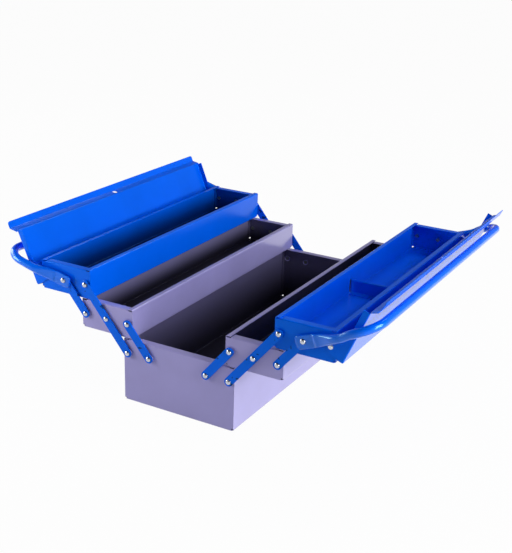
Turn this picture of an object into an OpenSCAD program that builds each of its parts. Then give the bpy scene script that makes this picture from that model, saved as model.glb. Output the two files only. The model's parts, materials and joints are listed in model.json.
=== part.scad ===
// Cantilever tool box with five trays, standing open: a deep box, two middle
// trays and two top trays that swing out on flat arms, two hinged lids and two
// tube handles.
// X runs across the trays, Y along the box and Z up. The origin is on the
// ground under the middle of the box.

/* [Box] */
// Width of the deep box
box_w = 200; // [190:1:240]
// Length of the deep box and of every tray
box_len = 530; // [380:1:700]
// Height of the deep box's long walls
box_h = 106; // [90:1:140]
// Thickness of the sheet steel
sheet = 1; // [0.8:0.1:1.4]

/* [Trays] */
// Height of a tray
tray_h = 48.2; // [46:0.1:60]
// Gap along the middle between the two sides' trays when shut
tray_gap = 7; // [6:0.5:12]
// Distance from a tray's long wall to its nearest pivot
pivot_edge = 8.25; // [8:0.25:10]

/* [Arms] */
// Width of an arm
arm_w = 14; // [12:0.5:15]
// Thickness of an arm
arm_t = 2; // [1.5:0.1:2.5]

/* [Lids] */
// Angle that a lid swings through from shut to open
lid_swing = 113; // [100:1:116]
// Height of the left lid's raised lip above its panel
lip_rise = 11; // [10:0.5:14]
// How far each lip reaches over the middle when shut
lip_lap = 5.25; // [4:0.25:6]

/* [Handles] */
// Diameter of the handle tube
tube_d = 13; // [11:0.5:16]
// Least gap between an open lid and the grip behind it
grip_gap = 11.7; // [8:0.1:20]
// How far the left handle stands above level, in degrees
left_handle_angle = 13; // [12:0.5:24]
// How far the right handle stands above level, in degrees
right_handle_angle = 22.5; // [12:0.5:24]

/* [Hidden] */
$fn = 48;

// The four ways a piece can face
left = -1;
right = 1;
front = -1;
back = 1;

// Paint and metal
grey_paint = [0.55, 0.53, 0.72];
blue_paint = [0.02, 0.30, 0.88];
bright_steel = [0.80, 0.82, 0.84];

// Gap between two pieces that slide past each other
play = 0.3;
// Inside radius of every fold, and the flats that make up its curve
fold_r = 1;
fold_steps = 4;

// Folded rims and flanges
long_rim = 8;
end_rim = 12.4;
end_rim_drop = 1.5;
end_rim_cut = 9;
corner_drop = 3;
side_flange = 8;
relief = 2.5;

// Trays, by the arms' geometry
rise = tray_h + play;
tray_w = (box_w - tray_gap) / 2;
pivot_pitch = tray_w / 2 - pivot_edge;
tray_half_h = tray_h / 2;
arm_pitch = norm([pivot_pitch, rise]);
arm_lean = atan2(pivot_pitch, rise);

// Pivots on the box's end walls, and then up each stage
box_outer_pivot = [box_w / 2 - pivot_edge, box_h + play + tray_half_h - rise];
box_inner_pivot = box_outer_pivot - [pivot_pitch, 0];
mid_centre_pivot = box_outer_pivot + [pivot_pitch, rise];
mid_inner_pivot = mid_centre_pivot - [pivot_pitch, 0];
mid_outer_pivot = mid_centre_pivot + [pivot_pitch, 0];
top_inner_pivot = mid_outer_pivot + [0, rise];
top_centre_pivot = top_inner_pivot + [pivot_pitch, 0];
lid_pivot = top_centre_pivot + [pivot_pitch, 0];

// Layers outside the end walls, counted outward from the wall's face
boss_h = 1.7;
arm_face = boss_h + play;
arm_back = arm_face + arm_t;
head_face = arm_back + play;
handle_back = head_face + 3;
handle_head_face = handle_back + play;
lid_flange_gap = 0.5;
lid_flange_back = lid_flange_gap + sheet;
lid_head_face = lid_flange_back + play;

// Rivets
shank_r = 2.5;
neck_r = 2;
tail_r = 3.5;
tail_h = 1.5;
head_r = 4.25;
head_h = 2.6;
lid_head_h = 2.1;
collar_r = 4.75;
turning_fit = 0.05;
pivot_hole_r = shank_r + turning_fit;
wall_hole_r = neck_r + turning_fit;
head_steps = 6;

// Round bosses pressed out of the box's end walls
boss_base_r = 7;
boss_top_r = 5.5;

// Lids, measured from the pivot with the lid shut. The panel clears the tray's
// rounded outer edge as it turns, and the open lid's rear flange stops against
// the tray's outer wall.
fold_outer_r = fold_r + sheet;
rim_swing_r = norm([pivot_edge - fold_outer_r, tray_half_h - fold_outer_r]) + fold_outer_r;
lid_panel_z = rim_swing_r + play + sheet;
lid_rear_gap = 3.75;
lid_rear_x = pivot_edge + lid_rear_gap + sheet;
lid_rear_tip_z = (pivot_edge + play - lid_rear_x * cos(lid_swing)) / sin(lid_swing);
lid_step_run = 7;
lid_lip_run = 11.5;
lid_lip_x = pivot_edge - box_w / 2 - lip_lap;
lid_step_x = lid_lip_x + lid_lip_run;
lid_end_x = lid_step_x + lid_step_run;
lid_end_depth = 10;
lid_lobe_r = 8;
lid_lobe_run = 40;
lid_lobe_steps = 16;
lip_gap = 0.5;
right_lip_rise = lip_rise - sheet - lip_gap;
lip_overhang = 3;
lip_corner_r = 4.5;
lip_cut_start = 3;
lip_cut_run = 21;
lip_cut_steps = 12;
lock_hole_r = 4.5;

// Handles, measured outward from the pivot. The grip clears the open lid by
// its gap on the side whose handle stands higher.
handle_top_angle = max(left_handle_angle, right_handle_angle);
lid_back_from_handle = pivot_pitch * sin(lid_swing) + lid_panel_z;
handle_reach = (lid_back_from_handle + grip_gap + tube_d / 2) / sin(lid_swing + handle_top_angle);
handle_end_w = tube_d * PI / 2;
handle_end_run = 12;
handle_end_r = 5;
handle_end_steps = 6;
handle_flat_run = 24;
handle_round_at = 58;
handle_bend_r = 36;
handle_tube_gap = 2.2;
handle_tube_depth = head_face + handle_tube_gap + tube_d / 2;

// Divider in the right top tray
divider_y = -7;
divider_h = 22;
divider_foot = 12;
divider_fold = 3;
divider_gap = 2;
slot_w = 6;
slot_rise = 1.2;

// Small overlap that makes a cut run clean through
clean = 1;

// Plane geometry of folded sheet

// Vector turned a quarter turn to the left
function left_of(v) = [-v[1], v[0]];

// Vector turned through an angle
function turned(v, a) = [v[0] * cos(a) - v[1] * sin(a), v[0] * sin(a) + v[1] * cos(a)];

// Direction of a path from point i to the next
function way(path, i) = (path[i + 1] - path[i]) / norm(path[i + 1] - path[i]);

// Angle through which a path turns at point i
function turn_at(path, i) =
    let (u = way(path, i - 1), v = way(path, i))
    atan2(u[0] * v[1] - u[1] * v[0], u * v);

// Curve of one fold, on the face that lies off to the left of the path
function fold(path, i, off) =
    let (
        u = way(path, i - 1),
        turn = turn_at(path, i),
        side = sign(turn),
        r = turn > 0 ? fold_r + sheet : fold_r,
        centre = path[i] - u * r * tan(abs(turn) / 2) + left_of(u) * r * side
    )
    [for (k = [0:fold_steps]) centre - turned(left_of(u), turn * k / fold_steps) * side * (r - side * off)];

// One face of the sheet along a path, with its folds rounded
function face(path, off) =
    let (last = len(path) - 1)
    concat(
        [path[0] + left_of(way(path, 0)) * off],
        [for (i = [1:last - 1]) each fold(path, i, off)],
        [path[last] + left_of(way(path, last - 1)) * off]
    );

// Outline of a sheet whose outer face follows a path, with its metal on the left
function folded(path) =
    let (inner = face(path, sheet))
    concat(face(path, 0), [for (i = [len(inner) - 1:-1:0]) inner[i]]);

// Outer face of a trough: rim, wall, floor, wall, rim
function trough(w, h) = [
    [long_rim - w / 2, h],
    [-w / 2, h],
    [-w / 2, 0],
    [w / 2, 0],
    [w / 2, h],
    [w / 2 - long_rim, h]
];

// Placing

// Draws for the right-hand side, or mirrors to the left
module on_side(side) {
    mirror([side == left ? 1 : 0, 0, 0])
        children();
}

// Turns a drawing in X and Z, with depth outward, onto an end wall's face
module on_end(end) {
    mirror([0, end == back ? 1 : 0, 0])
        translate([0, -box_len / 2, 0])
            rotate([90, 0, 0])
                children();
}

// Extrudes an outline in X and Z along the box
module along(length) {
    translate([0, length / 2, 0])
        rotate([90, 0, 0])
            linear_extrude(length)
                children();
}

// Extrudes an outline in Y and Z across the box
module across(width) {
    translate([-width / 2, 0, 0])
        rotate([90, 0, 90])
            linear_extrude(width)
                children();
}

// Sheet-metal troughs

// Folded floor and long walls of a box or tray, standing on Z zero
module trough_shell(w, h) {
    difference() {
        along(box_len)
            polygon(folded(trough(w, h)));
        for (x = [-w / 2, w / 2], y = [-box_len / 2, box_len / 2])
            translate([x, y, -clean])
                cylinder(r = relief, h = relief + clean);
    }
}

// Folded end wall of a box or tray, with its outer face on Y zero and its inside along +Y
module end_wall(w, h) {
    inner_w = w - 2 * sheet;
    rim_top = h - end_rim_drop;
    difference() {
        union() {
            across(inner_w)
                polygon(folded([[end_rim, rim_top], [0, rim_top], [0, sheet], [side_flange, sheet]]));
            translate([0, 0, sheet])
                linear_extrude(h - corner_drop - sheet)
                    polygon(folded([
                        [-inner_w / 2, side_flange],
                        [-inner_w / 2, 0],
                        [inner_w / 2, 0],
                        [inner_w / 2, side_flange]
                    ]));
        }
        for (side = [left, right])
            on_side(side) {
                translate([w / 2 - end_rim_cut, -clean, h - corner_drop])
                    cube([end_rim_cut, end_rim + 2 * clean, corner_drop]);
                translate([inner_w / 2 - relief, -clean, 0])
                    cube([relief + clean, side_flange + 2 * clean, sheet + relief]);
            }
    }
}

// End wall set at one end of a trough
module placed_end_wall(w, h, end) {
    mirror([0, end == back ? 1 : 0, 0])
        translate([0, -box_len / 2, 0])
            end_wall(w, h);
}

// Holes through an end wall at a list of pivots
module pivot_holes(pivots, end) {
    on_end(end)
        for (p = pivots)
            translate([p[0], p[1], -end_rim])
                cylinder(r = wall_hole_r, h = end_rim + clean);
}

// Rivets

// Turned rivet from its tail inside the wall to its domed head outside
module rivet(seat, head_at, dome_h, shoulder_r, shoulder_top) {
    tail_end = seat - sheet - tail_h;
    rotate_extrude()
        polygon(concat(
            [
                [0, tail_end],
                [tail_r, tail_end],
                [tail_r, seat - sheet],
                [neck_r, seat - sheet],
                [neck_r, seat],
                [shoulder_r, seat],
                [shoulder_r, shoulder_top],
                [shank_r, shoulder_top],
                [shank_r, head_at],
                [head_r, head_at]
            ],
            [for (k = [1:head_steps]) let (a = 90 * k / head_steps) [head_r * cos(a), head_at + dome_h * sin(a)]]
        ));
}

// Rivet with a collar that holds an arm off a tray's end wall
module collared_rivet(head_at) {
    rivet(0, head_at, head_h, collar_r, boss_h);
}

// Rivets of both ends of one body, at a list of pivots
module both_ends(pivots) {
    for (end = [front, back])
        on_end(end)
            for (p = pivots)
                translate(p)
                    children();
}

// Deep box

box_pivots = [
    box_outer_pivot,
    box_inner_pivot,
    [-box_outer_pivot[0], box_outer_pivot[1]],
    [-box_inner_pivot[0], box_inner_pivot[1]]
];

module box_shell() {
    color(grey_paint)
        trough_shell(box_w, box_h);
}

// End wall with a round boss pressed outward at each arm's pivot
module box_end(end) {
    color(grey_paint)
        difference() {
            union() {
                placed_end_wall(box_w, box_h, end);
                on_end(end)
                    for (p = box_pivots)
                        translate([p[0], p[1], -sheet])
                            cylinder(r1 = boss_base_r, r2 = boss_top_r, h = sheet + boss_h);
            }
            on_end(end)
                for (p = box_pivots)
                    translate([p[0], p[1], -2 * sheet])
                        cylinder(r1 = boss_base_r, r2 = boss_top_r - sheet, h = sheet + boss_h);
            pivot_holes_through_bosses(end);
        }
}

// Holes for the rivets' necks through the bosses
module pivot_holes_through_bosses(end) {
    on_end(end)
        for (p = box_pivots)
            translate([p[0], p[1], -end_rim])
                cylinder(r = wall_hole_r, h = end_rim + boss_h + clean);
}

module box_rivets() {
    color(bright_steel)
        both_ends(box_pivots)
            rivet(boss_h, head_face, head_h, shank_r, arm_face);
}

// Trays

// Foot of a tray whose middle pivot is given
function tray_foot(centre) = [centre[0], 0, centre[1] - tray_half_h];

module tray_shell(centre) {
    translate(tray_foot(centre))
        trough_shell(tray_w, tray_h);
}

module tray_end(centre, end) {
    difference() {
        translate(tray_foot(centre))
            placed_end_wall(tray_w, tray_h, end);
        pivot_holes([centre - [pivot_pitch, 0], centre, centre + [pivot_pitch, 0]], end);
    }
}

module mid_tray_shell(side) {
    color(grey_paint)
        on_side(side)
            tray_shell(mid_centre_pivot);
}

module mid_tray_end(side, end) {
    color(grey_paint)
        on_side(side)
            tray_end(mid_centre_pivot, end);
}

module mid_tray_rivets(side) {
    color(bright_steel)
        on_side(side)
            both_ends([mid_inner_pivot, mid_centre_pivot, mid_outer_pivot])
                collared_rivet(head_face);
}

module top_tray_shell(side) {
    color(blue_paint)
        on_side(side)
            difference() {
                tray_shell(top_centre_pivot);
                if (side == right)
                    divider_slots();
            }
}

module top_tray_end(side, end) {
    color(blue_paint)
        on_side(side)
            tray_end(top_centre_pivot, end);
}

module top_tray_rivets(side) {
    color(bright_steel)
        on_side(side) {
            both_ends([top_inner_pivot])
                collared_rivet(head_face);
            both_ends([top_centre_pivot])
                collared_rivet(handle_head_face);
        }
}

// Upright slots in both long walls, beside the divider
module divider_slots() {
    foot = tray_foot(top_centre_pivot);
    translate([foot[0] - tray_w / 2 - clean, divider_y - slot_w, foot[2] + sheet + slot_rise])
        cube([tray_w + 2 * clean, slot_w, divider_h]);
}

// Folded cross wall with a foot on the tray's floor and a turned-over top
module right_divider() {
    foot = tray_foot(top_centre_pivot);
    fold_z = divider_h - sheet;
    color(blue_paint)
        translate([foot[0], divider_y, foot[2] + sheet])
            across(tray_w - 2 * sheet - 2 * divider_gap)
                polygon(folded([[-divider_foot, 0], [0, 0], [0, fold_z], [divider_fold, fold_z]]));
}

// Arms

// Flat arm from one pivot up to another, with a hole at each pivot in the list
module arm(from, pivots, reach, end) {
    color(blue_paint)
        on_end(end)
            difference() {
                translate([from[0], from[1], arm_face])
                    rotate([0, 0, 90 - arm_lean])
                        linear_extrude(arm_t)
                            union() {
                                circle(d = arm_w);
                                translate([0, -arm_w / 2])
                                    square([reach, arm_w]);
                                translate([reach, 0])
                                    circle(d = arm_w);
                            }
                for (p = pivots)
                    translate([p[0], p[1], arm_face - clean])
                        cylinder(r = pivot_hole_r, h = arm_t + 2 * clean);
            }
}

module long_arm(side, end) {
    on_side(side)
        arm(box_outer_pivot, [box_outer_pivot, mid_centre_pivot, top_inner_pivot], 2 * arm_pitch, end);
}

module lower_arm(side, end) {
    on_side(side)
        arm(box_inner_pivot, [box_inner_pivot, mid_inner_pivot], arm_pitch, end);
}

module upper_arm(side, end) {
    on_side(side)
        arm(mid_outer_pivot, [mid_outer_pivot, top_centre_pivot], arm_pitch, end);
}

// Lids

lid_len = box_len + 2 * lid_flange_back;

// Outer face of a lid from its rear flange over the panel and step to the lip
function lid_path(lift) = [
    [lid_rear_x, lid_rear_tip_z],
    [lid_rear_x, lid_panel_z],
    [lid_end_x, lid_panel_z],
    [lid_step_x, lid_panel_z + lift],
    [lid_lip_x, lid_panel_z + lift]
];

// Panel, rear flange, step and lip
module lid_sheet(lift) {
    path = lid_path(lift);
    along(lid_len - 2 * fold_outer_r)
        polygon(folded(path));
}

// Step and lip, which run on past the ends
module lid_lip(lift, overhang) {
    path = lid_path(lift);
    tab = path[2] + [sheet, 0];
    along(lid_len + 2 * overhang)
        polygon(folded([tab, path[2], path[3], path[4]]));
}

// Panel with its two end flanges
module lid_ends() {
    half = lid_len / 2;
    run = lid_rear_x - lid_end_x - fold_outer_r - sheet;
    translate([lid_end_x + sheet + run / 2, 0, 0])
        across(run)
            polygon(folded([
                [half, lid_panel_z - lid_end_depth],
                [half, lid_panel_z],
                [-half, lid_panel_z],
                [-half, lid_panel_z - lid_end_depth]
            ]));
}

// Direction from the pivot in which a line from an outside point touches the lobe
function lobe_touch(p, turn) = atan2(p[1], p[0]) + turn * acos(lid_lobe_r / norm(p));

// Lobes round the pivots, running into the end flanges
module lid_lobes() {
    flange_z = lid_panel_z - lid_end_depth;
    bend_z = lid_panel_z - fold_outer_r;
    tip = [lid_rear_x - fold_r, lid_rear_tip_z];
    shoulder = [lid_rear_x - lid_lobe_run, flange_z];
    from = lobe_touch(tip, -1);
    to = lobe_touch(shoulder, 1) - 360;
    for (end = [front, back])
        on_end(end)
            translate([0, 0, lid_flange_gap])
                linear_extrude(sheet)
                    polygon(concat(
                        [
                            for (k = [0:lid_lobe_steps])
                                let (a = from + (to - from) * k / lid_lobe_steps)
                                lid_lobe_r * [cos(a), sin(a)]
                        ],
                        [shoulder, [shoulder[0], bend_z], [tip[0], bend_z], tip]
                    ));
}

// Keeps the lip's corners round, as seen from above
module round_lip_plan(overhang) {
    half = lid_len / 2 + overhang;
    r = lip_corner_r;
    translate([0, 0, lid_panel_z - fold_outer_r])
        linear_extrude(2 * lip_rise)
            union() {
                translate([lid_lip_x + r, -half])
                    square([lid_rear_x - lid_lip_x, 2 * half]);
                translate([lid_lip_x, r - half])
                    square([lid_rear_x - lid_lip_x, 2 * (half - r)]);
                for (y = [r - half, half - r])
                    translate([lid_lip_x + r, y])
                        circle(r = r);
            }
}

// Sweeping cut that brings the right lid's lip down at its front end
module lip_sweep_cut() {
    start = lip_cut_start - lid_len / 2;
    swing = lid_lip_run + clean;
    translate([0, 0, lid_panel_z + sheet])
        linear_extrude(2 * lip_rise)
            polygon(concat(
                [[lid_lip_x - clean, start - 2 * lip_cut_start], [lid_step_x, start - 2 * lip_cut_start]],
                [
                    for (k = [0:lip_cut_steps])
                        let (t = k / lip_cut_steps)
                        [lid_step_x - swing * (1 - cos(180 * t)) / 2, start + lip_cut_run * t]
                ]
            ));
}

// Hole for a padlock, square through the middle of the sloping step
module lock_hole(lift) {
    middle = [lid_end_x - lid_step_run / 2, lid_panel_z + lift / 2];
    translate([middle[0], 0, middle[1]])
        rotate([0, atan2(lift, lid_step_run), 0])
            cylinder(r = lock_hole_r, h = 4 * sheet, center = true);
}

// Holes for the lid's rivets
module lid_pivot_holes() {
    for (end = [front, back])
        on_end(end)
            cylinder(r = pivot_hole_r, h = 4 * sheet);
}

// A whole lid, shut, with its pivot on the Y axis
module shut_lid(lift, overhang) {
    difference() {
        union() {
            lid_sheet(lift);
            lid_ends();
            lid_lobes();
            intersection() {
                lid_lip(lift, overhang);
                round_lip_plan(overhang);
            }
        }
        lid_pivot_holes();
        lock_hole(lift);
    }
}

// Swings a shut lid open about its pivot
module open_on_pivot() {
    translate([lid_pivot[0], 0, lid_pivot[1]])
        rotate([0, lid_swing, 0])
            children();
}

module left_lid() {
    color(blue_paint)
        on_side(left)
            open_on_pivot()
                shut_lid(lip_rise, lip_overhang);
}

module right_lid() {
    color(blue_paint)
        open_on_pivot()
            difference() {
                shut_lid(right_lip_rise, 0);
                lip_sweep_cut();
            }
}

module lid_rivets(side) {
    color(bright_steel)
        on_side(side)
            both_ends([lid_pivot])
                rivet(0, lid_head_face, lid_head_h, shank_r, lid_flange_gap);
}

// Handles

// Corner of the flattened end, rounded, with a matching one across the tube
function handle_end_corner(side) = [
    for (k = [0:handle_end_steps])
        let (a = 90 * k / handle_end_steps, b = side == left ? 180 + a : 90 + a)
        [
            handle_end_r - handle_end_run + handle_end_r * cos(b),
            side * (handle_end_w / 2 - handle_end_r) + handle_end_r * sin(b)
        ]
];

// Flattened end of the tube, from the pivot outward
module handle_flat() {
    translate([0, 0, head_face])
        linear_extrude(handle_back - head_face)
            polygon(concat(
                [[handle_flat_run, handle_end_w / 2]],
                handle_end_corner(right),
                handle_end_corner(left),
                [[handle_flat_run, -handle_end_w / 2]]
            ));
}

// Stretch where the flattened end swells into the round tube
module handle_swell() {
    slice = 0.5;
    hull() {
        translate([handle_flat_run - slice, -handle_end_w / 2, head_face])
            cube([slice, handle_end_w, handle_back - head_face]);
        translate([handle_round_at, 0, handle_tube_depth])
            rotate([0, 90, 0])
                cylinder(d = tube_d, h = slice, $fn = 32);
    }
}

// Round side stretch of the tube and its bend into the grip
module handle_bend() {
    bend_at = handle_reach - handle_bend_r;
    translate([handle_round_at, 0, handle_tube_depth])
        rotate([0, 90, 0])
            cylinder(d = tube_d, h = bend_at - handle_round_at);
    translate([bend_at, 0, handle_tube_depth - handle_bend_r])
        rotate([90, 0, 0])
            rotate_extrude(angle = 90)
                translate([handle_bend_r, 0])
                    circle(d = tube_d);
}

// One side of a handle along +X, with its pivot on the Y axis
module level_handle_side() {
    difference() {
        union() {
            handle_flat();
            handle_swell();
            handle_bend();
        }
        translate([0, 0, head_face - clean])
            cylinder(r = pivot_hole_r, h = handle_back - head_face + 2 * clean);
    }
}

// Straight stretch of the tube that the hand holds
module level_handle_grip() {
    grip = box_len + 2 * (handle_tube_depth - handle_bend_r);
    translate([handle_reach, 0, 0])
        rotate([90, 0, 0])
            cylinder(d = tube_d, h = grip, center = true);
}

// Puts a level handle on its pivot, raised to its angle
module on_handle_pivot(side, angle) {
    on_side(side)
        translate([top_centre_pivot[0], 0, top_centre_pivot[1]])
            rotate([0, -angle, 0])
                children();
}

module handle_side(side, end, angle) {
    color(blue_paint)
        on_handle_pivot(side, angle)
            on_end(end)
                level_handle_side();
}

module handle_grip(side, angle) {
    color(blue_paint)
        on_handle_pivot(side, angle)
            level_handle_grip();
}

box_shell();
box_end(front);  // box_front_end
box_end(back);  // box_back_end
box_rivets();
mid_tray_shell(left);  // left_mid_tray_shell
mid_tray_end(left, front);  // left_mid_tray_front_end
mid_tray_end(left, back);  // left_mid_tray_back_end
mid_tray_rivets(left);  // left_mid_tray_rivets
mid_tray_shell(right);  // right_mid_tray_shell
mid_tray_end(right, front);  // right_mid_tray_front_end
mid_tray_end(right, back);  // right_mid_tray_back_end
mid_tray_rivets(right);  // right_mid_tray_rivets
top_tray_shell(left);  // left_top_tray_shell
top_tray_end(left, front);  // left_top_tray_front_end
top_tray_end(left, back);  // left_top_tray_back_end
top_tray_rivets(left);  // left_top_tray_rivets
top_tray_shell(right);  // right_top_tray_shell
top_tray_end(right, front);  // right_top_tray_front_end
top_tray_end(right, back);  // right_top_tray_back_end
top_tray_rivets(right);  // right_top_tray_rivets
right_divider();
lid_rivets(left);  // left_lid_rivets
lid_rivets(right);  // right_lid_rivets
left_lid();
right_lid();
handle_grip(left, left_handle_angle);  // left_handle_grip
handle_side(left, front, left_handle_angle);  // left_handle_front_side
handle_side(left, back, left_handle_angle);  // left_handle_back_side
handle_grip(right, right_handle_angle);  // right_handle_grip
handle_side(right, front, right_handle_angle);  // right_handle_front_side
handle_side(right, back, right_handle_angle);  // right_handle_back_side
long_arm(left, front);  // left_front_long_arm
long_arm(left, back);  // left_back_long_arm
long_arm(right, front);  // right_front_long_arm
long_arm(right, back);  // right_back_long_arm
lower_arm(left, front);  // left_front_lower_arm
lower_arm(left, back);  // left_back_lower_arm
lower_arm(right, front);  // right_front_lower_arm
lower_arm(right, back);  // right_back_lower_arm
upper_arm(left, front);  // left_front_upper_arm
upper_arm(left, back);  // left_back_upper_arm
upper_arm(right, front);  // right_front_upper_arm
upper_arm(right, back);  // right_back_upper_arm
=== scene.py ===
import json
import math

import bmesh
import bpy
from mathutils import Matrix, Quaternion, Vector


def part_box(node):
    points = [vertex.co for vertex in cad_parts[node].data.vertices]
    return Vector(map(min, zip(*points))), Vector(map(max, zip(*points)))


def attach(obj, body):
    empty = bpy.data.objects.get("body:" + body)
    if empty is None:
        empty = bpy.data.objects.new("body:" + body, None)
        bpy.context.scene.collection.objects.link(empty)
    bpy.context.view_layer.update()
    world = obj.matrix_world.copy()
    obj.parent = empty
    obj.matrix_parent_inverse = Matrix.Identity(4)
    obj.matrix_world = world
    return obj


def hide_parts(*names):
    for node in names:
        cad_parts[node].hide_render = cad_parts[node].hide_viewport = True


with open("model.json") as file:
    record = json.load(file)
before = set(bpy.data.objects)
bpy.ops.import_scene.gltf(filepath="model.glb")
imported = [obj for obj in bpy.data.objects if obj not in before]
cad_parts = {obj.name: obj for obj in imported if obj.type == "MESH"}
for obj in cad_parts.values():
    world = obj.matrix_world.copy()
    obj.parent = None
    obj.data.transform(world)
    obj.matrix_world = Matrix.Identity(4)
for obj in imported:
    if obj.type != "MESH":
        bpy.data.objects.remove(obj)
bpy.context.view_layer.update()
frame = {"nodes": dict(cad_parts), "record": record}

MM = 0.001

# Photograph's frame in pixels, and its camera
PHOTO_WIDTH = 512
PHOTO_HEIGHT = 553
FOCAL_PIXELS = 1023.8
OPTICAL_CENTRE = (248.28, 300.47)
SENSOR = 36
CAMERA_PLACE = Vector((0.77796, -1.43969, 0.75887))
CAMERA_FORWARD = Vector((-0.45375, 0.80917, -0.3733))
CAMERA_ROLL = math.radians(1.752)

# Paint colours, linear, and the tints of their head-on glints
BLUE = (0.0, 0.122, 0.86)
GREY = (0.36, 0.335, 0.66)
SPOT_BLACK = (0.0, 0.01, 0.05)
BLUE_GLINT = (0.0, 0.5, 1.0, 1.0)
HANDLE_GLINT = (0.15, 1.0, 1.0, 1.0)
GREY_GLINT = (0.7, 0.65, 1.0, 1.0)
GREY_IOR = 1.75

# Roughness of the paints, and how edge-on a face is where their clear coat begins
BLUE_GLOSS = 0.24
GREY_GLOSS = 0.28
BLUE_COAT_FROM = 0.64
GREY_COAT_FROM = 0.32
COAT_SPREAD = 0.16
COAT_ROUGHNESS = 0.12
COAT_IOR = 1.5

# Clear coat's weight on faces seen head-on and edge-on
GREY_COATS = (0.04, 1.0)
BLUE_COATS = (0.04, 0.35)
HANDLE_COATS = (0.5, 0.8)

# Patterns in the paint, in waves per metre
MOTTLE_SCALE = 9.0
GRAIN_SCALE = 60.0
DUST_SCALE = 500.0
SPOT_SCALE = 170.0
WAVE_SCALE = 9.0
PEEL_SCALE = 420.0
NOISE_ROUGHNESS = 0.55
MIDDLE_OF_NOISE = (0.3, 0.7)

# Strength of the patterns
MOTTLE_SHADES = (0.93, 1.06)
GRAIN_SHIFT = (-0.006, 0.008)
DUST_LIFT = 0.12
DUST_SHARE = 0.03
ARM_SPOTS = 0.8

# Bumps of the paint and its rounded edges, in metres
WAVE_DEPTH = 0.0003
PEEL_DEPTH = 0.000006
EDGE_RADIUS = 0.0004
EDGE_SAMPLES = 6

# Darkening of the paint inside a hollow, which stands in for the photograph's deep shadow:
# metres left alone at its sides and rim, and shares of its depth
DARK_SKIN = 0.0005
DARK_RIM = 0.004
DARK_FOOT = 0.1
DARK_HEAD = 0.05
DARK_CURVE = 1.3

# Rivets: depth in metres at which the dull tails give way to the bright heads
TAIL_END = 0.2640
HEAD_START = 0.2650
ZINC = ((0.30, 0.34, 0.31), (0.42, 0.45, 0.40))
PLATING = ((0.55, 0.57, 0.63), (0.44, 0.46, 0.52))
PLATING_GLOSS = (0.08, 0.16)
ZINC_DULLNESS = 0.3
SCRATCH_DEPTH = 0.00001

# Ground, in metres
GROUND_HALF = 12.0
GROUND_DROP = 0.0002
GROUND_COLOUR = (0.5, 0.5, 0.51, 1.0)
GROUND_WHITE = 0.97

# White walls of the studio: glow by the height and the depth of the way looked
WALL_TINT = (0.97, 0.98, 1.0, 1)
WALL_HEIGHTS = (0.28, 0.62)
WALL_GLOWS = (0.6, 0.04)
WALL_DEPTHS = (-0.3, 0.4)
WALL_SHARES = (0.7, 0.35)

# Softboxes: place and size in metres, power in watts, all aimed at one point
SOFTBOXES = {
    "low_right_softbox": ((2.2, -0.3, 0.6), (1.1, 0.9), 29),
    "high_right_softbox": ((1.9, -0.2, 1.3), (1.0, 1.0), 28),
    "left_softbox": ((-0.75, -0.6, 0.35), (0.4, 0.4), 4),
    "back_softbox": ((0.15, 1.5, 2.2), (1.0, 1.0), 18),
    "far_left_softbox": ((-2.3, 0.1, 0.9), (1.2, 1.2), 20),
}
LIGHT_TARGET = (0.0, 0.0, 0.12)

# Handles, in millimetres, measured outward from the pivot
HANDLE_PIVOT = (211.75, 178.9)
HANDLE_ANGLES = {"left": 13.0, "right": 22.5}
HANDLE_SAG = {"left": 0.8, "right": 3.0}
END_WALL = 265.0
HANDLE_REACH = 115.97
TUBE_R = 6.5
TUBE_DEPTH = 13.0
FLAT_HALF = 1.5
FLAT_FACE = 4.3
FLAT_WIDTH = 20.4
END_RUN = 12.0
END_CORNER = 5.0
BEND_R = 36.0
PIVOT_HOLE_R = 2.55

# Where a handle's pressed end opens into the tube, each with its start and its length
CREASE = (15.0, 6.0)
CREASE_RISE = 1.1
SWELL = (20.0, 38.0)
SWELL_RISE = 3.9
OPENING = (15.0, 43.0)
STEP_OUT = (24.0, 34.0)
STEP_OUT_RISE = 2.2
SAG = (-12.0, 60.0)
SAG_AT_END = 0.43
SAG_MORE = 0.57
SAG_END = (60.0, 20.0)

# Resolution of the handle meshes
RING_POINTS = 28
BEND_STEPS = 14
END_RUNS = [-12.0, -11.9, -11.5, -10.8, -9.8, -8.5, -7.0, -4.0, 4.0, 9.0]
SWELL_RUNS = [13.0 + k for k in range(0, 14)]
SIDE_RUNS = [28.0 + 3.0 * k for k in range(0, 11)]
LAST_RUNS = [62.0, 67.0, 73.0]
PIN_POINTS = 32
PIN_HALF = 300.0
SHARP_ANGLE = math.radians(38)


# Node helpers


def linked(tree, kind, inputs=None, **settings):
    """A node with its settings, and with values or links on its inputs."""
    node = tree.nodes.new(kind)
    for name, value in settings.items():
        setattr(node, name, value)
    for name, value in (inputs or {}).items():
        socket = node.inputs[name]
        if isinstance(value, bpy.types.NodeSocket):
            tree.links.new(value, socket)
        else:
            socket.default_value = value
    return node


def noise(tree, place, scale, detail):
    """Noise from 0 to 1 over the piece, with scale in waves per metre."""
    inputs = {
        "Vector": place,
        "Scale": scale,
        "Detail": detail,
        "Roughness": NOISE_ROUGHNESS,
    }
    return linked(tree, "ShaderNodeTexNoise", inputs).outputs["Fac"]


def ramp(tree, value, low, high, out_low=0.0, out_high=1.0):
    """Value spread from low..high to out_low..out_high, and held there."""
    inputs = {
        "Value": value,
        "From Min": low,
        "From Max": high,
        "To Min": out_low,
        "To Max": out_high,
    }
    return linked(tree, "ShaderNodeMapRange", inputs, clamp=True).outputs["Result"]


def maths(tree, kind, a, b=0.0):
    """One sum on two values."""
    return linked(tree, "ShaderNodeMath", {0: a, 1: b}, operation=kind).outputs[0]


def product(tree, first, *others):
    """All the values multiplied together."""
    for other in others:
        first = maths(tree, "MULTIPLY", first, other)
    return first


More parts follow.
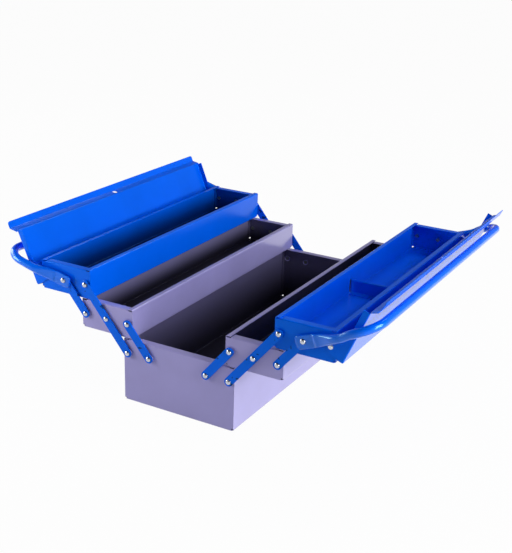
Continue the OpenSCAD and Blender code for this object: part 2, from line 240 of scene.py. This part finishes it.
def mixed(tree, share, a, b, kind="MIX"):
    """Two colours mixed by share, or multiplied."""
    node = linked(tree, "ShaderNodeMix", data_type="RGBA", blend_type=kind)
    for index, value in ((0, share), (6, a), (7, b)):
        socket = node.inputs[index]
        if isinstance(value, bpy.types.NodeSocket):
            tree.links.new(value, socket)
        elif index == 0:
            socket.default_value = value
        else:
            socket.default_value = (*value, 1.0)
    return node.outputs[2]


def bump(tree, height, depth, normal=None):
    """Normal roughened by a height from 0 to 1, with depth in metres."""
    inputs = {"Height": height, "Distance": depth}
    if normal is not None:
        inputs["Normal"] = normal
    return linked(tree, "ShaderNodeBump", inputs).outputs["Normal"]


def new_material(name):
    """Material with an empty tree, its object coordinates and its shader."""
    material = bpy.data.materials.new(name)
    material.use_nodes = True
    tree = material.node_tree
    tree.nodes.clear()
    place = linked(tree, "ShaderNodeTexCoord").outputs["Object"]
    shader = linked(tree, "ShaderNodeBsdfPrincipled")
    output = linked(tree, "ShaderNodeOutputMaterial")
    tree.links.new(shader.outputs[0], output.inputs["Surface"])
    return material, tree, place, shader


# Materials


def within(tree, value, low, high):
    """One between two values, and zero outside them."""
    above = maths(tree, "GREATER_THAN", value, low)
    return product(tree, above, maths(tree, "LESS_THAN", value, high))


def painted_shade_share(tree, place, hollow, floor_share, rim_share):
    """Share of the paint's colour kept inside a hollow in place of real shadow, least on its floor."""
    low, high = hollow
    ways = linked(tree, "ShaderNodeSeparateXYZ", {0: place}).outputs
    inside = product(
        tree,
        within(tree, ways["X"], low[0] + DARK_SKIN, high[0] - DARK_SKIN),
        within(tree, ways["Y"], low[1] + DARK_SKIN, high[1] - DARK_SKIN),
        within(tree, ways["Z"], low[2] + DARK_SKIN, high[2] - DARK_RIM),
    )
    rise = high[2] - low[2]
    kept = ramp(tree, ways["Z"], low[2] + DARK_FOOT * rise, high[2] - DARK_HEAD * rise)
    kept = maths(tree, "POWER", kept, DARK_CURVE)
    kept = ramp(tree, kept, 0.0, 1.0, floor_share, rim_share)
    # Painted shade: the colour taken away inside the hollow, most on its floor
    painted_shade_loss = product(tree, inside, maths(tree, "SUBTRACT", 1.0, kept))
    return maths(tree, "SUBTRACT", 1.0, painted_shade_loss)


def paint_colour(tree, place, colour, spots):
    """Paint's colour with soft mottling, specks of dust and, where asked for, dark spots."""
    darker, lighter = (tuple(min(1.0, c * shade) for c in colour) for shade in MOTTLE_SHADES)
    mottle = noise(tree, place, MOTTLE_SCALE, 4.0)
    shade = mixed(tree, ramp(tree, mottle, *MIDDLE_OF_NOISE), darker, lighter)
    dust = ramp(tree, noise(tree, place, DUST_SCALE, 1.0), 0.76, 0.80)
    pale = tuple(min(1.0, c + DUST_LIFT) for c in colour)
    shade = mixed(tree, product(tree, dust, DUST_SHARE), shade, pale)
    if spots:
        dots = ramp(tree, noise(tree, place, SPOT_SCALE, 0.0), 0.74, 0.76)
        shade = mixed(tree, product(tree, dots, spots), shade, SPOT_BLACK)
    return shade


def paint_normal(tree, place):
    """Normal of painted sheet: softened edges, slow waves and fine orange peel."""
    soft_edge = linked(tree, "ShaderNodeBevel", {"Radius": EDGE_RADIUS}, samples=EDGE_SAMPLES).outputs[0]
    waves = bump(tree, noise(tree, place, WAVE_SCALE, 1.0), WAVE_DEPTH, soft_edge)
    return bump(tree, noise(tree, place, PEEL_SCALE, 0.0), PEEL_DEPTH, waves)


def enamel(name, colour, gloss, coat_from, coats, spots=0.0, hollow=None, shares=(1.0, 1.0)):
    """Smooth enamel on sheet steel, with painted shade darkening the inside of a hollow if it has one.
    """
    material, tree, place, shader = new_material(name)
    shade = paint_colour(tree, place, colour, spots)
    facing = linked(tree, "ShaderNodeLayerWeight", {"Blend": 0.5}).outputs["Facing"]
    coat = ramp(tree, facing, coat_from, coat_from + COAT_SPREAD, *coats)
    # Painted shade: colour and clear coat darkened inside the hollow, toward its floor
    if hollow:
        kept = painted_shade_share(tree, place, hollow, *shares)
        shade = mixed(tree, 1.0, shade, kept, "MULTIPLY")
        coat = product(tree, coat, kept)
    grain = noise(tree, place, GRAIN_SCALE, 2.0)
    rough = ramp(tree, grain, *MIDDLE_OF_NOISE, gloss + GRAIN_SHIFT[0], gloss + GRAIN_SHIFT[1])
    tree.links.new(shade, shader.inputs["Base Color"])
    tree.links.new(coat, shader.inputs["Coat Weight"])
    tree.links.new(rough, shader.inputs["Roughness"])
    tree.links.new(paint_normal(tree, place), shader.inputs["Normal"])
    shader.inputs["Coat Roughness"].default_value = COAT_ROUGHNESS
    shader.inputs["Coat IOR"].default_value = COAT_IOR
    return material, shader


def blue_enamel(name, glint=BLUE_GLINT, coats=BLUE_COATS, **settings):
    """Glossy blue enamel, whose head-on glints stay blue."""
    material, shader = enamel(name, BLUE, BLUE_GLOSS, BLUE_COAT_FROM, coats, **settings)
    shader.inputs["Specular Tint"].default_value = glint
    return material


def grey_enamel(name, **settings):
    """Lilac grey enamel with a softer gloss."""
    material, shader = enamel(name, GREY, GREY_GLOSS, GREY_COAT_FROM, GREY_COATS, **settings)
    shader.inputs["IOR"].default_value = GREY_IOR
    shader.inputs["Specular Tint"].default_value = GREY_GLINT
    return material


def rivet_steel():
    """Bright plated steel outside, and duller zinc on the tails inside the walls."""
    material, tree, place, shader = new_material("rivet_steel")
    along = linked(tree, "ShaderNodeSeparateXYZ", {0: place}).outputs["Y"]
    outside = ramp(tree, maths(tree, "ABSOLUTE", along), TAIL_END, HEAD_START)
    stain = ramp(tree, noise(tree, place, 260.0, 3.0), 0.45, 0.7)
    colour = mixed(tree, outside, mixed(tree, stain, *ZINC), mixed(tree, stain, *PLATING))
    rough = ramp(tree, noise(tree, place, 900.0, 2.0), *MIDDLE_OF_NOISE, *PLATING_GLOSS)
    inside = maths(tree, "SUBTRACT", 1.0, outside)
    rough = maths(tree, "ADD", rough, product(tree, inside, ZINC_DULLNESS))
    scratches = noise(tree, place, 1800.0, 2.0)
    tree.links.new(colour, shader.inputs["Base Color"])
    tree.links.new(rough, shader.inputs["Roughness"])
    tree.links.new(bump(tree, scratches, SCRATCH_DEPTH), shader.inputs["Normal"])
    shader.inputs["Metallic"].default_value = 1.0
    return material


def floor_material():
    """Matt white ground that looks white from the camera and keeps a pale shadow."""
    material, tree, place, shader = new_material("white_ground")
    shader.inputs["Base Color"].default_value = GROUND_COLOUR
    fleck = noise(tree, place, 300.0, 2.0)
    tree.links.new(ramp(tree, fleck, *MIDDLE_OF_NOISE, 0.85, 0.95), shader.inputs["Roughness"])
    ray = linked(tree, "ShaderNodeLightPath")
    seen = maths(tree, "MAXIMUM", ray.outputs["Is Camera Ray"], ray.outputs["Is Glossy Ray"])
    glow = linked(tree, "ShaderNodeEmission", {"Color": (1, 1, 1, 1), "Strength": 1.0}).outputs[0]
    share = product(tree, seen, GROUND_WHITE)
    blend = linked(tree, "ShaderNodeMixShader", {0: share, 1: shader.outputs[0], 2: glow})
    output = next(n for n in tree.nodes if n.type == "OUTPUT_MATERIAL")
    tree.links.new(blend.outputs[0], output.inputs["Surface"])
    return material


# Ground, light and camera


def make_ground():
    """Wide plain floor under the object."""
    mesh = bpy.data.meshes.new("ground")
    half = GROUND_HALF
    corners = [(-half, -half, 0), (half, -half, 0), (half, half, 0), (-half, half, 0)]
    mesh.from_pydata(corners, [], [(0, 1, 2, 3)])
    ground = bpy.data.objects.new("ground", mesh)
    ground.location.z = -GROUND_DROP
    bpy.context.collection.objects.link(ground)
    mesh.materials.append(floor_material())


def make_world():
    """White studio walls under a dark ceiling, plain white where the camera sees them."""
    world = bpy.data.worlds.new("white_room")
    bpy.context.scene.world = world
    world.use_nodes = True
    tree = world.node_tree
    tree.nodes.clear()
    ray = linked(tree, "ShaderNodeLightPath")
    seen = maths(tree, "MAXIMUM", ray.outputs["Is Camera Ray"], ray.outputs["Is Transmission Ray"])
    way = linked(tree, "ShaderNodeTexCoord").outputs["Generated"]
    ways = linked(tree, "ShaderNodeSeparateXYZ", {0: way}).outputs
    wall = ramp(tree, ways["Z"], *WALL_HEIGHTS, *WALL_GLOWS)
    wall = product(tree, wall, ramp(tree, ways["Y"], *WALL_DEPTHS, *WALL_SHARES))
    around = linked(tree, "ShaderNodeBackground", {"Color": WALL_TINT, "Strength": wall})
    white = linked(tree, "ShaderNodeBackground", {"Color": (1, 1, 1, 1), "Strength": 1.0})
    pick = linked(tree, "ShaderNodeMixShader", {0: seen, 1: around.outputs[0], 2: white.outputs[0]})
    output = linked(tree, "ShaderNodeOutputWorld")
    tree.links.new(pick.outputs[0], output.inputs["Surface"])


def make_lights():
    """Softboxes: two on the right, one above the other, and others on the left and behind."""
    for name, (place, size, watts) in SOFTBOXES.items():
        lamp = bpy.data.lights.new(name, "AREA")
        lamp.shape = "RECTANGLE"
        lamp.size, lamp.size_y = size
        lamp.energy = watts
        holder = bpy.data.objects.new(name, lamp)
        holder.location = place
        aim = Vector(LIGHT_TARGET) - Vector(place)
        holder.rotation_euler = aim.to_track_quat("-Z", "Y").to_euler()
        bpy.context.collection.objects.link(holder)


def make_camera():
    """Camera at the photograph's place, with the shift that its framing needs."""
    data = bpy.data.cameras.new("photo_camera")
    data.sensor_fit = "HORIZONTAL"
    data.sensor_width = SENSOR
    data.lens = FOCAL_PIXELS * SENSOR / PHOTO_WIDTH
    data.shift_x = (PHOTO_WIDTH / 2 - OPTICAL_CENTRE[0]) / PHOTO_WIDTH
    data.shift_y = (OPTICAL_CENTRE[1] - PHOTO_HEIGHT / 2) / PHOTO_WIDTH
    camera = bpy.data.objects.new("photo_camera", data)
    camera.location = CAMERA_PLACE
    aim = CAMERA_FORWARD.to_track_quat("-Z", "Y")
    camera.rotation_mode = "QUATERNION"
    camera.rotation_quaternion = aim @ Quaternion((0, 0, 1), CAMERA_ROLL)
    bpy.context.collection.objects.link(camera)
    bpy.context.scene.camera = camera


# Handles, each one bent tube with pressed ends


def smooth(value):
    """Eases from 0 to 1."""
    t = max(0.0, min(1.0, value))
    return t * t * (3.0 - 2.0 * t)


def eased(run, stretch):
    """Share of a stretch, given by its start and length, that lies behind a run."""
    start, length = stretch
    return smooth((run - start) / length)


def thickness(run):
    """Half thickness of the tube at a run from the pivot: pressed flat, a crease, then round."""
    crease = CREASE_RISE * eased(run, CREASE)
    swell = SWELL_RISE * eased(run, SWELL)
    return FLAT_HALF + crease + swell


def half_flat(run):
    """Half width of the section's flat part, which keeps the tube's girth as it opens."""
    girth = 2 * math.pi * FLAT_HALF + 4 * (FLAT_WIDTH / 2 - FLAT_HALF)
    girth += (2 * math.pi * TUBE_R - girth) * eased(run, OPENING)
    flat = max(0.0, (girth - 2 * math.pi * thickness(run)) / 4)
    if run < END_CORNER - END_RUN:
        into = END_CORNER - END_RUN - run
        flat -= END_CORNER - math.sqrt(max(0.0, END_CORNER ** 2 - into ** 2))
    return flat


def side_rings(side, end):
    """Rings along one side of a handle: centre, width way, outward way and section sizes."""
    sign = -1 if side == "left" else 1
    angle = math.radians(HANDLE_ANGLES[side])
    out = Vector((sign * math.cos(angle), 0, math.sin(angle)))
    up = Vector((-sign * math.sin(angle), 0, math.cos(angle)))
    away = Vector((0, end, 0))
    pivot = Vector((sign * HANDLE_PIVOT[0], end * END_WALL, HANDLE_PIVOT[1]))
    rings = []
    for run in END_RUNS + SWELL_RUNS + SIDE_RUNS + LAST_RUNS:
        half = thickness(run)
        face = FLAT_FACE + STEP_OUT_RISE * eased(run, STEP_OUT)
        sag = SAG_AT_END + SAG_MORE * eased(run, SAG)
        sag *= HANDLE_SAG[side] * (1.0 - eased(run, SAG_END))
        centre = pivot + out * run + away * (face + half) - up * sag
        rings.append((centre, up, away, half_flat(run), half))
    centre_of_bend = pivot + out * (HANDLE_REACH - BEND_R) + away * (TUBE_DEPTH - BEND_R)
    for k in range(BEND_STEPS + 1):
        turn = math.radians(90.0 * k / BEND_STEPS)
        outward = out * math.sin(turn) + away * math.cos(turn)
        rings.append((centre_of_bend + outward * BEND_R, up, outward, 0.0, TUBE_R))
    return rings


def add_ring(bm, ring):
    """Vertices of one section: two half rounds with a flat stretch between them."""
    centre, wide, outward, flat, half = ring
    verts = []
    for k in range(RING_POINTS):
        turn = 2 * math.pi * (k + 0.5) / RING_POINTS
        across = math.copysign(flat, math.cos(turn)) + half * math.cos(turn)
        point = centre + wide * across + outward * half * math.sin(turn)
        verts.append(bm.verts.new(point * MM))
    return verts


def closed_tube(name, loops, bm):
    """Mesh of a closed tube through loops of vertices, with a cap on each end."""
    for near, far in zip(loops, loops[1:]):
        for k in range(len(near)):
            after = (k + 1) % len(near)
            bm.faces.new((near[k], near[after], far[after], far[k]))
    bm.faces.new(loops[0])
    bm.faces.new(loops[-1])
    bmesh.ops.recalc_face_normals(bm, faces=bm.faces)
    mesh = bpy.data.meshes.new(name)
    bm.to_mesh(mesh)
    bm.free()
    return mesh


def handle_mesh(side):
    """Mesh of one handle, from the front pivot round the grip to the back pivot."""
    rings = side_rings(side, -1)
    rings += reversed(side_rings(side, 1))
    bm = bmesh.new()
    return closed_tube(f"{side}_bent_handle", [add_ring(bm, ring) for ring in rings], bm)


def pin_mesh(side):
    """Cutter for the two pivot holes."""
    sign = -1 if side == "left" else 1
    bm = bmesh.new()
    rims = []
    for depth in (-PIN_HALF, PIN_HALF):
        rim = []
        for k in range(PIN_POINTS):
            turn = 2 * math.pi * k / PIN_POINTS
            x = sign * HANDLE_PIVOT[0] + PIVOT_HOLE_R * math.cos(turn)
            z = HANDLE_PIVOT[1] + PIVOT_HOLE_R * math.sin(turn)
            rim.append(bm.verts.new(Vector((x, depth, z)) * MM))
        rims.append(rim)
    return closed_tube("pivot_pin", rims, bm)


def drilled(piece, pin):
    """Cuts the pin's shape out of a piece's mesh."""
    cut = piece.modifiers.new("pivot_holes", "BOOLEAN")
    cut.object = pin
    cut.solver = "EXACT"
    bpy.context.view_layer.update()
    whole = piece.evaluated_get(bpy.context.evaluated_depsgraph_get())
    piece.data = bpy.data.meshes.new_from_object(whole)
    piece.modifiers.clear()


def make_handle(side, material):
    """One bent tube in place of the CAD handle's three nodes."""
    piece = bpy.data.objects.new(f"{side}_bent_handle", handle_mesh(side))
    pin = bpy.data.objects.new("pivot_pin", pin_mesh(side))
    for thing in (piece, pin):
        bpy.context.collection.objects.link(thing)
    drilled(piece, pin)
    bpy.data.objects.remove(pin)
    piece.data.shade_smooth()
    piece.data.set_sharp_from_angle(angle=SHARP_ANGLE)
    piece.data.materials.clear()
    piece.data.materials.append(material)
    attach(piece, f"{side}_handle_body")
    parts = ("grip", "front_side", "back_side")
    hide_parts(*[f"{side}_handle_{part}" for part in parts])


# Finish of the CAD pieces

# Paint of each hollow, with the share of its colour kept on the floor and at the rim under its painted
# shade
PAINTED_SHADE_HOLLOWS = {
    "box": (grey_enamel, (0.03, 0.45)),
    "left_mid_tray": (grey_enamel, (0.03, 0.65)),
    "right_mid_tray": (grey_enamel, (0.03, 0.10)),
    "left_top_tray": (blue_enamel, (0.20, 0.85)),
    "right_top_tray": (blue_enamel, (1.0, 1.0)),
}


def dress(node, material):
    """Puts one material on every slot of a CAD node."""
    for slot in frame["nodes"][node].material_slots:
        slot.material = material


def dress_all():
    """Materials of all CAD nodes, and the handles in their paint."""
    blue = blue_enamel("blue_enamel")
    spotted_blue = blue_enamel("blue_enamel_arm", spots=ARM_SPOTS)
    by_slot = {"blue_paint": blue, "bright_steel": rivet_steel()}
    for part in frame["record"]["subparts"]:
        if part["material_slot"] in by_slot:
            dress(part["node"], by_slot[part["material_slot"]])
    for stem, (paint, shares) in PAINTED_SHADE_HOLLOWS.items():
        material = paint(f"{stem}_enamel", hollow=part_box(f"{stem}_shell"), shares=shares)
        for piece in ("shell", "front_end", "back_end"):
            dress(f"{stem}_{piece}", material)
    for node in frame["nodes"]:
        if node.endswith("_arm"):
            dress(node, spotted_blue)
    handle_blue = blue_enamel("blue_enamel_handle", HANDLE_GLINT, HANDLE_COATS)
    for side in HANDLE_ANGLES:
        make_handle(side, handle_blue)


make_camera()
make_ground()
make_world()
make_lights()
dress_all()

bpy.context.scene.view_settings.view_transform = "Standard"
